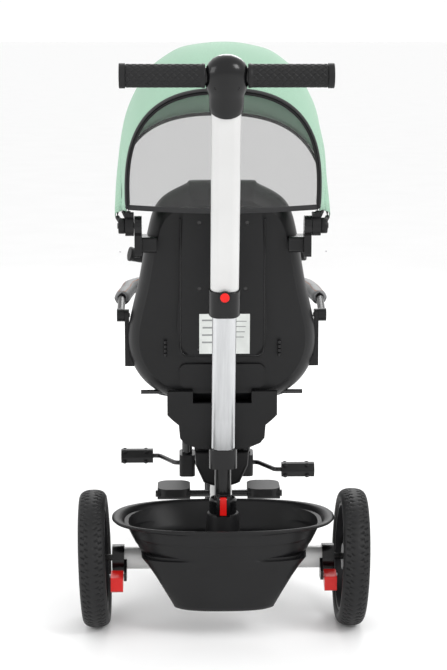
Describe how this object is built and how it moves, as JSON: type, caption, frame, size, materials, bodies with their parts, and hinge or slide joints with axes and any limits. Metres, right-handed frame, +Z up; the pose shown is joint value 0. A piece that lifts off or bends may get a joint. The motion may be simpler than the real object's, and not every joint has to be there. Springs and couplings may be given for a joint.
{
  "type": "children's tricycle",
  "caption": "Children's push tricycle with a turning, reclining seat, folding mint canopy, rear basket and telescopic parent's handle.",
  "frame": {"origin": "on the floor under the middle of the tricycle", "axes": "+Z up, +Y the way it rides, +X the rider's right"},
  "size_m": [0.524, 1.0379, 1.0564],
  "materials": {
    "white_paint": "satin white painted steel",
    "black_paint": "gloss black painted steel",
    "brushed_tube": "brushed and satin",
    "steel": "zinc plated",
    "black_plastic": "satin moulded",
    "gloss_black": "gloss moulded",
    "red_plastic": "gloss moulded",
    "grip_rubber": "soft",
    "tyre_rubber": "moulded",
    "rim_plastic": "satin moulded",
    "mint_fabric": "woven melange",
    "mesh_fabric": "open mesh",
    "seat_fabric": "woven padded",
    "guard_leather": "stitched",
    "strap_web": "webbing"
  },
  "bodies": {
    "frame": {"rear_axle_tube": "white_paint", "axle_sleeves": "gloss_black", "stub_axles": "black_paint", "brake_brackets": "gloss_black", "main_beam": "white_paint", "head_bushes": "black_plastic", "beam_cover": "black_plastic", "basket": "black_plastic", "handle_socket": "black_plastic", "basket_collar": "gloss_black", "pivot_pins": "steel", "footrest_frame": "black_paint", "turntable": "black_paint"},
    "rear_wheel_left": {"rear_tyre_left": "tyre_rubber", "rear_rim_left": "rim_plastic"},
    "rear_wheel_right": {"rear_tyre_right": "tyre_rubber", "rear_rim_right": "rim_plastic"},
    "brake_left": {"brake_pedal_left": "red_plastic"},
    "brake_right": {"brake_pedal_right": "red_plastic"},
    "latch": {"release_latch": "red_plastic"},
    "handle_lower": {"lower_handle_tube": "brushed_tube", "handle_clamp": "gloss_black"},
    "handle_upper": {"upper_handle_tube": "white_paint", "telescope_collar": "gloss_black", "handle_housing": "gloss_black", "handle_grips": "grip_rubber"},
    "button": {"telescope_button": "red_plastic"},
    "steering": {"fork": "black_paint", "fork_end_covers": "black_plastic", "mudguard": "black_plastic", "child_handlebar": "black_plastic", "stem": "gloss_black", "child_grips": "grip_rubber"},
    "front_wheel": {"front_tyre": "tyre_rubber", "front_rim": "rim_plastic", "crank_rod": "black_paint"},
    "left_pedal": {"pedal_left": "black_plastic"},
    "right_pedal": {"pedal_right": "black_plastic"},
    "left_footrest": {"footrest_left": "black_plastic"},
    "right_footrest": {"footrest_right": "black_plastic"},
    "seat": {"seat_base": "black_plastic", "seat_pan": "black_plastic", "seat_cushion": "seat_fabric", "recline_rod": "steel"},
    "backrest": {"seat_back_shell": "black_plastic", "back_covers": "black_plastic", "back_screws": "black_paint", "back_cushion": "seat_fabric", "guard_posts": "black_plastic", "canopy_rear_panel": "mint_fabric", "canopy_fixed_bows": "black_plastic", "canopy_window": "mesh_fabric", "canopy_brackets": "gloss_black", "canopy_rear_hubs": "black_plastic", "harness": "strap_web"},
    "guard": {"guard_bar": "steel", "guard_ends": "black_plastic", "guard_pad": "guard_leather"},
    "canopy_front": {"canopy_front_panel": "mint_fabric", "canopy_moving_bow": "black_plastic"}
  },
  "joints": [
    {"name": "rear_wheel_left_spin", "type": "hinge", "parent": "frame", "child": "rear_wheel_left", "pos_m": [-0.2335, -0.25175, 0.125], "axis": [0.9994, 0, 0.0349], "continuous": true},
    {"name": "rear_wheel_right_spin", "type": "hinge", "parent": "frame", "child": "rear_wheel_right", "pos_m": [0.2335, -0.25175, 0.125], "axis": [0.9994, 0, -0.0349], "continuous": true},
    {"name": "brake_left_press", "type": "hinge", "parent": "frame", "child": "brake_left", "pos_m": [-0.19, -0.28975, 0.103], "axis": [1, 0, 0], "range_deg": [0, 14]},
    {"name": "brake_right_press", "type": "hinge", "parent": "frame", "child": "brake_right", "pos_m": [0.19, -0.28975, 0.103], "axis": [1, 0, 0], "range_deg": [0, 14]},
    {"name": "latch_lift", "type": "hinge", "parent": "frame", "child": "latch", "pos_m": [0, -0.26375, 0.237], "axis": [-1, 0, 0], "range_deg": [0, 20], "stiffness_Nm_per_rad": 0.05},
    {"name": "steer", "type": "hinge", "parent": "frame", "child": "steering", "pos_m": [0, 0.36825, 0.15], "axis": [0, -0.1736, 0.9848], "range_deg": [-25, 25]},
    {"name": "handle_turn", "type": "hinge", "parent": "frame", "child": "handle_lower", "pos_m": [0, -0.23175, 0.2], "axis": [0, 0, 1], "range_deg": [-20, 20]},
    {"name": "handle_telescope", "type": "slide", "parent": "handle_lower", "child": "handle_upper", "axis": [0, -0.3469, 0.9379], "range_m": [-0.165, 0]},
    {"name": "button_press", "type": "slide", "parent": "handle_upper", "child": "button", "axis": [0, 1, 0], "range_m": [0, 0.003], "stiffness_N_per_m": 200},
    {"name": "front_wheel_spin", "type": "hinge", "parent": "steering", "child": "front_wheel", "pos_m": [0, 0.36825, 0.15], "axis": [1, 0, 0], "continuous": true},
    {"name": "pedal_left_spin", "type": "hinge", "parent": "front_wheel", "child": "left_pedal", "pos_m": [-0.17, 0.43325, 0.15], "axis": [1, 0, 0], "continuous": true},
    {"name": "pedal_right_spin", "type": "hinge", "parent": "front_wheel", "child": "right_pedal", "pos_m": [0.17, 0.30325, 0.15], "axis": [1, 0, 0], "continuous": true},
    {"name": "footrest_left_fold", "type": "hinge", "parent": "frame", "child": "left_footrest", "pos_m": [-0.09, 0.10825, 0.15], "axis": [1, 0, 0], "range_deg": [0, 80]},
    {"name": "footrest_right_fold", "type": "hinge", "parent": "frame", "child": "right_footrest", "pos_m": [0.09, 0.10825, 0.15], "axis": [1, 0, 0], "range_deg": [0, 80]},
    {"name": "seat_swivel", "type": "hinge", "parent": "frame", "child": "seat", "pos_m": [0, -0.05175, 0.312], "axis": [0, 0, 1], "range_deg": [0, 180]},
    {"name": "backrest_recline", "type": "hinge", "parent": "seat", "child": "backrest", "pos_m": [0, -0.14595, 0.41248], "axis": [1, 0, 0], "range_deg": [0, 7]},
    {"name": "guard_lift", "type": "hinge", "parent": "backrest", "child": "guard", "pos_m": [0, -0.13975, 0.556], "axis": [1, 0, 0], "range_deg": [0, 55]},
    {"name": "canopy_fold", "type": "hinge", "parent": "backrest", "child": "canopy_front", "pos_m": [0, -0.24675, 0.733], "axis": [1, 0, 0], "range_deg": [0, 35]}
  ],
  "couplings": [
    {"joint": "handle_turn", "follows": "steer", "ratio": 0.8}
  ]
}
